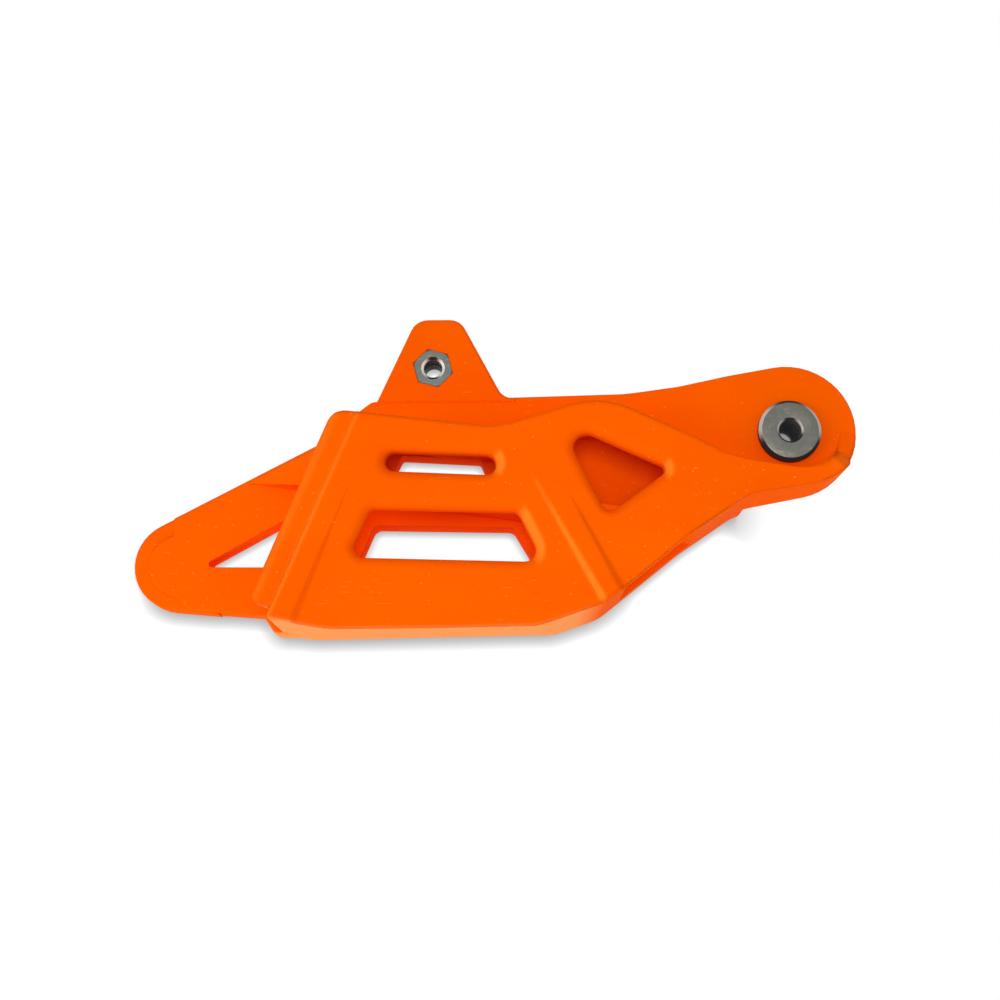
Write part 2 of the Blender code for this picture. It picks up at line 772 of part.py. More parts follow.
def guide_body():
    """The one-piece moulding."""
    body = slab("guide_body", BODY_OUTLINE, 0.0, BODY_DEPTH, EDGE_BREAK)
    cut(body, bottom_draft())
    join(body, lip())
    cut(body, arm_pocket(), front_slope())
    join(body, *back_plates())
    cut(body, chain_run(), upper_cavity())
    join(body, roof_ramp())
    cut(body, rim_drop())

    relief = [
        (RELIEF_START, -0.030, 0.0),
        (BUSH_X + 0.040, -0.030, 0.0),
        (BUSH_X + 0.040, EAR_TOP, 0.0),
        (RELIEF_START, EAR_TOP, 0.0),
    ]
    cut(body, loft("arm_relief", relief, [(-0.001, 0.0), (ARM_BACK, 0.0)]))
    join(body, *arm_back())
    join(body, disc("bush_seat", BUSH_X, BUSH_Y, SEAT_RADIUS, ARM_BACK + 0.001, ARM_FLOOR_DEPTH))

    main_field, surface = field_recess("main_field", *MAIN_FIELD)
    end_field, _ = field_recess("end_field", *END_FIELD)
    cut(body, main_field, end_field)
    cut(body, *plate_openings(surface))
    cut(body, *fastener_seats())
    settle(body)
    return body


def flange_bush():
    """Turned steel bush: a sleeve with a chamfered flange."""
    bore = BUSH_BORE / 2
    outer = BUSH_OUTER / 2
    flange = FLANGE_DIAMETER / 2
    seat = ARM_FLOOR_DEPTH + CLEARANCE
    profile = [
        (bore + BORE_CHAMFER, 0.0),
        (outer - BORE_CHAMFER, 0.0),
        (outer, BORE_CHAMFER),
        (outer, seat),
        (flange - CLEARANCE, seat),
        (flange, seat + CLEARANCE),
        (flange, BUSH_LENGTH - FLANGE_CHAMFER * 0.8),
        (flange - FLANGE_CHAMFER, BUSH_LENGTH),
        (bore + BORE_CHAMFER, BUSH_LENGTH),
        (bore, BUSH_LENGTH - BORE_CHAMFER),
        (bore, BORE_CHAMFER),
    ]
    bush = turned("flange_bush", profile, BUSH_X, BUSH_Y, 56)
    bush.data.shade_smooth()
    bush.data.set_sharp_from_angle(angle=CREASE_ANGLE)
    return bush


def hex_nut():
    """Hexagon nut with chamfered corners and a countersunk bore."""
    low = EAR_DEPTH - NUT_THICKNESS
    high = EAR_DEPTH
    nut = loft("hex_nut", hexagon(NUT_ACROSS_FLATS, NUT_TURN), [(low, 0.0), (high, 0.0)])
    face = NUT_ACROSS_FLATS * 0.475
    wide = NUT_ACROSS_FLATS * 0.60
    drop = (wide - face) * math.tan(math.radians(30))
    bore = NUT_THREAD_BORE / 2
    spare = 0.0005
    profile = [
        (bore / 2, low - spare),
        (face - spare / math.tan(math.radians(30)), low - spare),
        (wide, low + drop),
        (wide, high - drop),
        (face - spare / math.tan(math.radians(30)), high + spare),
        (bore / 2, high + spare),
    ]
    keep(nut, turned("nut_crown", profile, EAR_X, EAR_Y))
    cut(nut, disc("nut_bore", EAR_X, EAR_Y, bore, low - 0.001, high + 0.001, 36))
    sink = NUT_CHAMFER / 2 - bore
    for name, start, direction in (("nut_sink_top", high, 1), ("nut_sink_low", low, -1)):
        cone = bmesh.new()
        bmesh.ops.create_cone(
            cone,
            cap_ends=True,
            segments=36,
            radius1=bore - spare,
            radius2=bore + sink + spare,
            depth=sink + 2 * spare,
        )
        tool = link(name, cone)
        if direction < 0:
            tool.data.transform(Matrix.Rotation(math.pi, 4, "X"))
        tool.data.transform(Matrix.Translation((EAR_X, EAR_Y, start - direction * sink / 2)))
        cut(nut, tool)
    settle(nut)
    return nut


def material(name, colour, roughness, metallic):
    """Principled material."""
    made = bpy.data.materials.new(name)
    made.use_nodes = True
    shader = made.node_tree.nodes["Principled BSDF"]
    shader.inputs["Base Color"].default_value = (*colour, 1.0)
    shader.inputs["Roughness"].default_value = roughness
    shader.inputs["Metallic"].default_value = metallic
    return made


def stand_at_centre(pieces):
    """Frame whose origin is under the middle of the guide."""
    outline = rounded(BODY_OUTLINE)
    left = PAD_X - PAD_RADIUS
    right = max(point.x for point in outline)
    low = min(point.y for point in outline)
    high = max(vertex.co.y for vertex in pieces[0].data.vertices)
    frame = bpy.data.objects.new("guide_frame", None)
    frame.location = (-(left + right) / 2, -(low + high) / 2, 0.0)
    bpy.context.scene.collection.objects.link(frame)
    for piece in pieces:
        piece.parent = frame


def main():
    for old in list(bpy.data.objects):
        bpy.data.objects.remove(old)
    body = guide_body()
    bush = flange_bush()
    nut = hex_nut()
    for helper in [found for found in bpy.data.objects if found.hide_render]:
        bpy.data.objects.remove(helper)
    body.data.materials.append(material("orange_nylon", (1.0, 0.122, 0.0), 0.55, 0.0))
    bush.data.materials.append(material("turned_steel", (0.42, 0.41, 0.39), 0.35, 1.0))
    nut.data.materials.append(material("plated_steel", (0.50, 0.47, 0.42), 0.38, 1.0))
    stand_at_centre([body, bush, nut])


main()
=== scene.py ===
"""Looks of a motorcycle chain guide that lies on a white table, outer face up.

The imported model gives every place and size. The moulded body keeps its solid's shape with its
edges rounded over, and the steel bush and the captive nut are turned and threaded in full.
"""

import logging
import math
from dataclasses import dataclass, field
from enum import Enum
from typing import Any, Mapping, Sequence

import bmesh
import bpy
from mathutils import Matrix, Vector


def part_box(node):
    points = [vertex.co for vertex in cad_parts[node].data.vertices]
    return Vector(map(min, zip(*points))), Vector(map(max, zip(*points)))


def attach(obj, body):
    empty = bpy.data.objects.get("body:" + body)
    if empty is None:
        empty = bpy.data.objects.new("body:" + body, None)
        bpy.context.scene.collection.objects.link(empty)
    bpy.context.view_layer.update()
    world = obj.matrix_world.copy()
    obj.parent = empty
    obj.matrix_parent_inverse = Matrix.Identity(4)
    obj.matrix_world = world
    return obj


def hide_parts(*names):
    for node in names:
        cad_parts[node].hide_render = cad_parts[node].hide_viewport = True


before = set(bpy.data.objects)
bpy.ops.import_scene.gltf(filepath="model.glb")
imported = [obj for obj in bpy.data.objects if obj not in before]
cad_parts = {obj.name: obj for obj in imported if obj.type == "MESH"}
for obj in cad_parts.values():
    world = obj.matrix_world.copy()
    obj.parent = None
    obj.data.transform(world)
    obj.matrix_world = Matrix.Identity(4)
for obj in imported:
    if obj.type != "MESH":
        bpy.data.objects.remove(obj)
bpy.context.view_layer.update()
LOG = logging.getLogger("chain_guide")
BODY = "root"
Colour = tuple[float, float, float]
Span = tuple[float, float]
BLACK: Colour = (0.0, 0.0, 0.0)
WHITE: Colour = (1.0, 1.0, 1.0)
NOISE_MEAN = 0.5
MERGE_DISTANCE = 1e-7


class RayKind(Enum):
    """Rays that the table and the surroundings treat apart."""

    CAMERA = "Is Camera Ray"
    GLOSSY = "Is Glossy Ray"


class Value:
    """A number that varies over a surface, so that shader maths reads as Python."""

    def __init__(self, graph: "Graph", socket: bpy.types.NodeSocket) -> None:
        """Wrap a node's output socket."""
        self.graph = graph
        self.socket = socket

    def math(self, operation: str, *values: Any) -> "Value":
        """Add a Math node.

        Args:
            operation: The node's operation.
            values: Its inputs in order, numbers or other values.

        Returns:
            The node's result.
        """
        return self.graph.value("ShaderNodeMath", {"operation": operation}, dict(enumerate(values)))

    def __add__(self, other: Any) -> "Value":
        """Sum."""
        return self.math("ADD", self, other)

    def __radd__(self, other: Any) -> "Value":
        """Sum with a plain number in front."""
        return self.math("ADD", other, self)

    def __sub__(self, other: Any) -> "Value":
        """Difference."""
        return self.math("SUBTRACT", self, other)

    def __rsub__(self, other: Any) -> "Value":
        """Difference from a plain number."""
        return self.math("SUBTRACT", other, self)

    def __mul__(self, other: Any) -> "Value":
        """Product."""
        return self.math("MULTIPLY", self, other)

    def __rmul__(self, other: Any) -> "Value":
        """Product with a plain number in front."""
        return self.math("MULTIPLY", other, self)

    def __truediv__(self, other: Any) -> "Value":
        """Quotient."""
        return self.math("DIVIDE", self, other)

    def __pow__(self, other: Any) -> "Value":
        """Power."""
        return self.math("POWER", self, other)

    def __abs__(self) -> "Value":
        """Size without its sign."""
        return self.math("ABSOLUTE", self)

    def larger(self, other: Any) -> "Value":
        """The larger of two."""
        return self.math("MAXIMUM", self, other)

    def over(self, low: float, high: float) -> "Value":
        """Smooth step from 0 at one level to 1 at another.

        Args:
            low: Level that gives 0.
            high: Level that gives 1.

        Returns:
            The stepped value.
        """
        settings = {"interpolation_type": "SMOOTHSTEP"}
        return self.graph.value("ShaderNodeMapRange", settings, {0: self, 1: low, 2: high})


class Graph:
    """A material's or the world's node tree, filled node by node."""

    def __init__(self, tree: bpy.types.NodeTree) -> None:
        """Start from an empty tree."""
        tree.nodes.clear()
        self.tree = tree

    def node(
        self,
        kind: str,
        settings: Mapping[str, Any] | None = None,
        inputs: Mapping[Any, Any] | None = None,
    ) -> bpy.types.Node:
        """Add any node.

        Args:
            kind: The node's type.
            settings: Its settings, which are set before its inputs.
            inputs: Numbers, colours or values for its sockets, by name or index.

        Returns:
            The node.
        """
        made = self.tree.nodes.new(kind)
        for name, setting in (settings or {}).items():
            setattr(made, name, setting)
        for key, given in (inputs or {}).items():
            if isinstance(given, Value):
                self.tree.links.new(given.socket, made.inputs[key])
            else:
                made.inputs[key].default_value = given
        return made

    def value(
        self,
        kind: str,
        settings: Mapping[str, Any] | None = None,
        inputs: Mapping[Any, Any] | None = None,
        output: Any = 0,
    ) -> Value:
        """Add any node and take one of its outputs.

        Args:
            kind: The node's type.
            settings: Its settings.
            inputs: What its sockets get.
            output: Name or index of the output.

        Returns:
            The output as a value.
        """
        return Value(self, self.node(kind, settings, inputs).outputs[output])

    def place(self, centre: Sequence[float] = (0, 0, 0), stretch: Sequence[float] = (1, 1, 1)) -> Value:
        """Object coordinates, centred and stretched.

        Args:
            centre: Point in metres that becomes the origin.
            stretch: Factor along each axis.

        Returns:
            The coordinates.
        """
        coordinates = self.value("ShaderNodeTexCoord", output="Object")
        moved = self.value(
            "ShaderNodeVectorMath", {"operation": "SUBTRACT"}, {0: coordinates, 1: tuple(centre)}
        )
        return self.value("ShaderNodeMapping", {}, {"Vector": moved, "Scale": tuple(stretch)})

    def parts(self, vector: Value) -> tuple[Value, Value, Value]:
        """X, Y and Z of a vector."""
        split = self.node("ShaderNodeSeparateXYZ", {}, {0: vector})
        return tuple(Value(self, output) for output in split.outputs)

    def noise(self, at: Value, size: float, detail: float = 2.0, roughness: float = 0.5) -> Value:
        """Noise with features of a given size.

        Args:
            at: Coordinates.
            size: Feature size in metres.
            detail: Octaves.
            roughness: Share of the finer octaves.

        Returns:
            The noise, around 0.5.
        """
        inputs = {"Vector": at, "Scale": 1 / size, "Detail": detail, "Roughness": roughness}
        return self.value("ShaderNodeTexNoise", {}, inputs)

    def ray(self, kind: RayKind) -> Value:
        """1 for rays of one kind, 0 for the others."""
        return self.value("ShaderNodeLightPath", output=kind.value)

    def mix(self, factor: Any, first: Any, second: Any) -> Value:
        """Blend two colours.

        Args:
            factor: Share of the second colour.
            first: Colour at factor 0.
            second: Colour at factor 1.

        Returns:
            The blended colour.
        """
        # Inputs 6 and 7 and output 2 are the node's colour sockets.
        return self.value("ShaderNodeMix", {"data_type": "RGBA"}, {0: factor, 6: first, 7: second}, 2)

    def bump(
        self, height: Value, distance: float, strength: float = 1.0, normal: Value | None = None
    ) -> Value:
        """Bump from a height between 0 and 1.

        Args:
            height: The height.
            distance: Rise in metres of a height of 1.
            strength: Share of the bump.
            normal: Normal that it adds to.

        Returns:
            The bumped normal.
        """
        inputs = {"Height": height, "Distance": distance, "Strength": strength}
        if normal is not None:
            inputs["Normal"] = normal
        return self.value("ShaderNodeBump", {}, inputs)

    def surface(self, shader: Value) -> None:
        """Send a shader to the material's output."""
        self.node("ShaderNodeOutputMaterial", {}, {"Surface": shader})


def new_material(name: str) -> tuple[bpy.types.Material, Graph]:
    """Make an empty node material.

    Args:
        name: Its name.

    Returns:
        The material and its graph.
    """
    material = bpy.data.materials.new(name)
    material.use_nodes = True
    return material, Graph(material.node_tree)


def rgba(colour: Colour) -> tuple[float, float, float, float]:
    """Colour with full alpha."""
    return (*colour, 1.0)


@dataclass(frozen=True)
class CutNoise:
    """Noise cut between two levels, which leaves patches, strokes or specks.

    Attributes:
        size: Feature size in metres.
        levels: Levels of the noise that give 0 and 1.
        detail: Octaves.
        stretch: Factor on the coordinates along each axis.
    """

    size: float
    levels: Span
    detail: float = 1.0
    stretch: tuple[float, float, float] = (1.0, 1.0, 1.0)

    def build(self, graph: Graph, centre: Sequence[float] = (0, 0, 0)) -> Value:
        """Add the cut noise.

        Args:
            graph: The material's graph.
            centre: Point in metres that becomes the origin.

        Returns:
            Its share, from 0 to 1.
        """
        return graph.noise(graph.place(centre, self.stretch), self.size, self.detail).over(*self.levels)


@dataclass(frozen=True)
class MouldedNylon:
    """Orange nylon from the mould: fine matte grain, faint flow marks, a few scuffs and specks.

    Edges that face the left lamp get a painted highlight, and the lower wall a painted bounce light.
    Lengths are in metres. A span holds the two levels between which a share goes from 0 to 1.

    Attributes:
        colour: The nylon.
        deep: The same in its flow marks.
        scuffs_and_bounce_light: Scuffs and specks, and the painted bounce light on the lower wall.
        painted_highlight: Painted highlight on rounded edges that lean towards -X, where the left lamp is.
        edge_radius: Rounding of the edges.
        face_radius: The same at the outer face.
        face_span: Heights from the box's top at which the face's rounding begins and is full.
        rim_radius: Rounding added where the cup wall fades out.
        rim_span: Distances from there at which it begins to lessen and is gone.
        rim_highlight_span: The same for the painted highlight there, which lightens the shade on the
            wall's steep end.
        rim_highlight_share: The painted highlight's share there.
        highlight_height_span: Heights from the box's top at which the painted highlight begins and is
            full.
        light_facing_span: How squarely a lean has to point to -X, towards the left lamp, to show the
            painted highlight.
        tilt_span: How far the surface has to lean for it.
        up_span: How far the surface still has to look up for it.
        lip_lean: X of the inlet lip's edge for each metre of Y.
        lip_line: X of that edge at Y 0.
        lip_soft: Half the width over which the lip goes over into the plate.
        lip_share: The painted highlight's share on the lip.
        beyond_lip_share: What is added to it on the plate.
        wall_span: How squarely a wall has to face -Y to get the painted bounce light.
        bottom_span: Distances from the box's -Y side at which the painted bounce light lessens and is
            gone.
        wall_share: The painted bounce light's share on the lower wall.
    """

    colour: Colour = (1.0, 0.120, 0.0)
    deep: Colour = (0.97, 0.108, 0.0)
    # Tone of the scuffs and specks, also used as painted bounce light on the lower wall.
    scuffs_and_bounce_light: Colour = (1.0, 0.355, 0.10)
    # Painted highlight on edges that face the left lamp.
    painted_highlight: Colour = (1.0, 0.235, 0.016)
    flow: CutNoise = CutNoise(0.016, (0.3, 0.7), detail=3.0, stretch=(0.35, 1.0, 1.0))
    specks: CutNoise = CutNoise(0.0011, (0.735, 0.76))
    strokes: CutNoise = CutNoise(0.006, (0.72, 0.74), stretch=(1.0, 14.0, 1.0))
    worn_patches: CutNoise = CutNoise(0.022, (0.55, 0.66))
    scuff_share: float = 0.18
    speck_share: float = 0.30
    roughness: float = 0.40
    grain_roughness: float = 0.12
    mark_roughness: float = 0.15
    ior: float = 1.015
    grain_size: float = 0.00045
    pebble_size: float = 0.0016
    grain_detail: float = 3.0
    grain_fineness: float = 0.6
    pebble_share: float = 0.4
    grain_depth: float = 0.00004
    grain_strength: float = 0.8
    bevel_samples: int = 4
    edge_radius: float = 0.0006
    face_radius: float = 0.0018
    face_span: Span = (-0.0022, -0.0016)
    rim_radius: float = 0.0020
    rim_span: Span = (0.009, 0.015)
    rim_highlight_span: Span = (0.004, 0.011)
    rim_highlight_share: float = 0.35
    highlight_height_span: Span = (-0.0040, -0.0015)
    light_facing_span: Span = (0.60, 0.88)
    tilt_span: Span = (0.03, 0.35)
    up_span: Span = (0.10, 0.50)
    lip_lean: float = 0.4
    lip_line: float = -0.0436
    lip_soft: float = 0.0005
    lip_share: float = 0.30
    beyond_lip_share: float = 0.55
    wall_span: Span = (0.25, 1.0)
    bottom_span: Span = (0.004, 0.008)
    wall_share: float = 0.92

    def build(self, low: Vector, high: Vector, rim_end: Vector) -> bpy.types.Material:
        """Make the material.

        Args:
            low: Lower corner of the moulding's box.
            high: Upper corner of the box.
            rim_end: Where the cup wall fades out.

        Returns:
            The material.
        """
        material, graph = new_material("orange_nylon_finish")
        at = graph.place()
        from_top = graph.parts(at)[2] - high.z
        from_rim_end = graph.value(
            "ShaderNodeVectorMath", {"operation": "LENGTH"}, {0: graph.place(rim_end)}, "Value"
        )
        rounded = self._rounded(
            graph, from_top.over(*self.face_span), 1 - from_rim_end.over(*self.rim_span)
        )
        grain = graph.noise(at, self.grain_size, self.grain_detail, self.grain_fineness)
        pebble = graph.noise(at, self.pebble_size)
        marks = self._marks(graph)
        # Painted highlight on edges that face the left lamp, painted bounce light on the lower wall.
        painted_highlight, painted_bounce = self._light_shares(graph, at, rounded, low)
        painted_highlight = painted_highlight * from_top.over(*self.highlight_height_span)
        # Painted highlight where the cup wall fades out, over the shade on its steep end.
        painted_highlight = painted_highlight.larger((1 - from_rim_end.over(*self.rim_highlight_span)) * self.rim_highlight_share)
        colour = graph.mix(self.flow.build(graph), rgba(self.colour), rgba(self.deep))
        colour = graph.mix(painted_highlight, colour, rgba(self.painted_highlight))
        # Painted bounce light on the lower wall; the next line uses the same tone for the scuffs and
        # specks.
        colour = graph.mix(painted_bounce, colour, rgba(self.scuffs_and_bounce_light))
        colour = graph.mix(marks, colour, rgba(self.scuffs_and_bounce_light))
        roughness = (grain - NOISE_MEAN) * self.grain_roughness + self.roughness
        roughness = roughness + marks * self.mark_roughness
        height = grain * (1 - self.pebble_share) + pebble * self.pebble_share
        normal = graph.bump(height, self.grain_depth, self.grain_strength, rounded)
        inputs = {"Base Color": colour, "Roughness": roughness, "Normal": normal, "IOR": self.ior}
        graph.surface(graph.value("ShaderNodeBsdfPrincipled", {}, inputs))
        return material

    def _rounded(self, graph: Graph, on_face: Value, near_rim_end: Value) -> Value:
        """Normal rounded over at the edges.

        Args:
            graph: The material's graph.
            on_face: 1 at the outer face, whose ridges are softer than the other edges.
            near_rim_end: 1 where the cup wall fades out, which is softer still.

        Returns:
            The rounded normal.
        """
        radius = on_face * (self.face_radius - self.edge_radius) + self.edge_radius
        radius = radius + near_rim_end * self.rim_radius
        return graph.value("ShaderNodeBevel", {"samples": self.bevel_samples}, {"Radius": radius})

    def _light_shares(
        self, graph: Graph, at: Value, rounded: Value, low: Vector
    ) -> tuple[Value, Value]:
        """Shares of the painted highlight on edges that face the left lamp and of the painted bounce light
        on the lower wall.

        Args:
            graph: The material's graph.
            at: Object coordinates.
            rounded: The rounded normal.
            low: Lower corner of the moulding's box.

        Returns:
            Share of the painted highlight and of the painted bounce light, from 0 to 1.
        """
        here, there, _ = graph.parts(at)
        across, along, up = graph.parts(rounded)
        # Painted bounce light: walls that face -Y, near the box's -Y side.
        wall = (0 - along).over(*self.wall_span)
        bottom = 1 - (there - low.y).over(*self.bottom_span)
        # Painted highlight: rounded edges that lean to -X, towards the left lamp, with less of it on the
        # lip.
        tilt = ((across * across) + (along * along)) ** 0.5
        to_left_lamp = (0 - across) / tilt
        painted_highlight = to_left_lamp.over(*self.light_facing_span) * tilt.over(*self.tilt_span) * up.over(*self.up_span)
        from_lip = here - (there * self.lip_lean) - self.lip_line
        beyond_lip = from_lip.over(-self.lip_soft, self.lip_soft)
        painted_highlight = painted_highlight * (beyond_lip * self.beyond_lip_share + self.lip_share)
        return painted_highlight, wall * bottom * self.wall_share

    def _marks(self, graph: Graph) -> Value:
        """Fine scuffs in worn patches, and pale specks.

        Args:
            graph: The material's graph.

        Returns:
            Their strength, from 0 to 1.
        """
        scuffs = self.strokes.build(graph) * self.worn_patches.build(graph) * self.scuff_share
        return scuffs.larger(self.specks.build(graph) * self.speck_share)


@dataclass(frozen=True)
class TurnedSteel:
    """Steel off the lathe: rings round an axis and handling marks, with painted highlight and shade on the
    chamfers and painted shade on the sides and in the bore.

    Lengths are in metres. A span holds the two levels between which a share goes from 0 to 1.

    Attributes:
        axis: X and Y of the axis.
        face: Level faces.
        marked: The same under stains and nicks.
        chamfer: Painted highlight on the slopes beside the axis.
        side: Painted shade on upright sides, in the bore and on the other slopes.
        ring_pitch: Distance between the lathe's rings.
        ring_depth: Their depth.
        bore: Radius inside which the steel gets the bore's painted shade.
        highlight_within: Radius inside which slopes get painted highlight or painted shade; beyond it they
            are as the face.
        highlight_from: Sine of the angle round the axis from which slopes get the painted highlight.
        wobble: How far the rings stray from a circle.
        upright_span: Upward parts of the normal between which a side ends.
        slope_span: The same for a slope.
        bore_span: Radii, in bores, between which the bore's painted shade ends.
        outer_span: Radii, in highlight_within, between which slopes take the face's colour.
        beside_span: Cosines round the axis between which slopes turn to the painted highlight.
        facing_soft: Half the width of the step at highlight_from.
        bore_shade_span: Upward parts of the normal between which the bore's painted shade lightens.
        bore_shade_share: By how much it lightens.
        slope_dull: Share of the metal's shine that slopes lose.
    """

    name: str
    axis: tuple[float, float]
    face: Colour
    marked: Colour
    # chamfer holds a painted highlight and side a painted shade.
    chamfer: Colour
    side: Colour
    ring_pitch: float
    ring_depth: float
    bore: float
    highlight_within: float
    highlight_from: float
    roughness: float = 0.30
    fine_roughness: float = 0.14
    nick_roughness: float = 0.1
    ior: float = 1.1
    stain: CutNoise = CutNoise(0.0020, (0.42, 0.66), detail=3.0)
    nicks: CutNoise = CutNoise(0.0022, (0.66, 0.70), detail=2.0, stretch=(1.0, 7.0, 1.0))
    fine_size: float = 0.0005
    fine_detail: float = 3.0
    wobble_size: float = 0.004
    wobble: float = 0.00002
    stain_share: float = 0.2
    nick_share: float = 0.4
    ring_share: float = 0.08
    ring_height: float = 0.3
    fine_height: float = 0.4
    nick_height: float = 0.5
    upright_span: Span = (0.10, 0.40)
    slope_span: Span = (0.90, 0.97)
    bore_span: Span = (1.01, 1.04)
    outer_span: Span = (1.0, 1.05)
    beside_span: Span = (0.25, 0.85)
    facing_soft: float = 0.25
    bore_shade_span: Span = (0.20, 0.90)
    bore_shade_share: float = 0.25
    slope_dull: float = 0.75

    def build(self) -> bpy.types.Material:
        """Make the material.

        Returns:
            The material.
        """
        material, graph = new_material(self.name)
        centre = (*self.axis, 0.0)
        at = graph.place(centre)
        across, along, _ = graph.parts(at)
        radius = ((across * across) + (along * along)) ** 0.5
        wobble = graph.noise(at, self.wobble_size) * self.wobble
        phase = (radius + wobble) * (math.tau / self.ring_pitch)
        rings = phase.math("SINE", phase)
        fine = graph.noise(at, self.fine_size, self.fine_detail)
        stain, nicks = self.stain.build(graph, centre), self.nicks.build(graph)
        marked = (stain * self.stain_share) + (nicks * self.nick_share) + (rings * self.ring_share)
        level = abs(graph.parts(graph.value("ShaderNodeNewGeometry", output="True Normal"))[2])
        # Painted shade on upright sides and in the bore, where it lightens a little as the surface looks
        # up.
        upright = 1 - level.over(*self.upright_span)
        slope = 1 - level.over(*self.slope_span)
        inside = 1 - (radius / self.bore).over(*self.bore_span)
        bore_shade = graph.mix(
            level.over(*self.bore_shade_span) * self.bore_shade_share, rgba(self.side), rgba(self.marked)
        )
        colour = graph.mix(marked, rgba(self.face), rgba(self.marked))
        # Painted highlight and painted shade on the chamfers.
        colour = graph.mix(slope, colour, self._slope_tone(graph, across, along, radius))
        colour = graph.mix(upright, colour, rgba(self.side))
        colour = graph.mix(inside, colour, bore_shade)
        dull = upright.larger(slope * self.slope_dull).larger(inside)
        roughness = (fine - NOISE_MEAN) * self.fine_roughness + self.roughness
        roughness = roughness + nicks * self.nick_roughness
        height = (rings * self.ring_height) + (fine * self.fine_height) + (nicks * self.nick_height)
        inputs = {
            "Base Color": colour,
            "Metallic": 1 - dull,
            "Roughness": roughness,
            "Normal": graph.bump(height, self.ring_depth),
            "IOR": self.ior,
        }
        graph.surface(graph.value("ShaderNodeBsdfPrincipled", {}, inputs))
        return material

    def _slope_tone(self, graph: Graph, across: Value, along: Value, radius: Value) -> Value:
        """Colour of the chamfers: painted highlight beside the axis, painted shade elsewhere.

        Args:
            graph: The material's graph.
            across: Distance from the axis along X.
            along: Distance from the axis along Y.
            radius: Distance from the axis.

        Returns:
            The colour.
        """
        beside = (abs(across) / radius).over(*self.beside_span)
        facing = (along / radius - self.highlight_from).over(-self.facing_soft, self.facing_soft)
        tone = graph.mix(beside * facing, rgba(self.side), rgba(self.chamfer))
        outer = (radius / self.highlight_within).over(*self.outer_span)
        return graph.mix(outer, tone, rgba(self.face))


def finished_mesh(
    name: str, body: bmesh.types.BMesh, material: bpy.types.Material, crease: float
) -> bpy.types.Object:
    """Put a bmesh in the scene as a smooth piece with sharp creases.

    Args:
        name: Piece name.
        body: Its shape; freed here.
        material: Its finish.
        crease: Angle in degrees above which an edge stays sharp.

    Returns:
        The piece.
    """
    bmesh.ops.remove_doubles(body, verts=body.verts, dist=MERGE_DISTANCE)
    bmesh.ops.recalc_face_normals(body, faces=body.faces)
    mesh = bpy.data.meshes.new(name)
    body.to_mesh(mesh)
    body.free()
    mesh.shade_smooth()
    mesh.set_sharp_from_angle(angle=math.radians(crease))
    mesh.materials.append(material)
    piece = bpy.data.objects.new(name, mesh)
    bpy.context.scene.collection.objects.link(piece)
    return piece


def turn_profile(
    profile: Sequence[tuple[float, float]], centre: Sequence[float], steps: int
) -> bmesh.types.BMesh:
    """Turn a closed (radius, height) profile about an upright axis.

    Args:
        profile: Corners of the profile.
        centre: X and Y of the axis.
        steps: Facets round the axis.

    Returns:
        The turned ring.
    """
    body = bmesh.new()
    verts = [body.verts.new((radius, 0.0, height)) for radius, height in profile]
    edges = [body.edges.new(pair) for pair in zip(verts, verts[1:] + verts[:1])]
    axis = {"axis": (0, 0, 1), "cent": (0, 0, 0), "angle": math.tau}
    bmesh.ops.spin(body, geom=verts + edges, steps=steps, **axis)
    bmesh.ops.transform(body, matrix=Matrix.Translation((centre[0], centre[1], 0.0)), verts=body.verts)
    return body


def round_corners(
    corners: Sequence[tuple[float, float, float]], steps: int = 5
) -> list[tuple[float, float]]:
    """Fillet the corners of a closed profile.

    Args:
        corners: Radius, height and fillet radius of each corner.
        steps: Facets in each fillet.

    Returns:
        The points of the filleted profile.
    """
    points = []
    for index, (x, y, fillet) in enumerate(corners):
        corner = Vector((x, y))
        if fillet == 0.0:
            points.append((x, y))
            continue
        before = (Vector(corners[index - 1][:2]) - corner).normalized()
        after = (Vector(corners[(index + 1) % len(corners)][:2]) - corner).normalized()
        half = before.angle(after) / 2
        start = corner + before * (fillet / math.tan(half))
        end = corner + after * (fillet / math.tan(half))
        centre = corner + (before + after).normalized() * (fillet / math.sin(half))
        for step in range(steps + 1):
            spoke = (start - centre).slerp(end - centre, step / steps).normalized()
            points.append(tuple(centre + spoke * fillet))
    return points


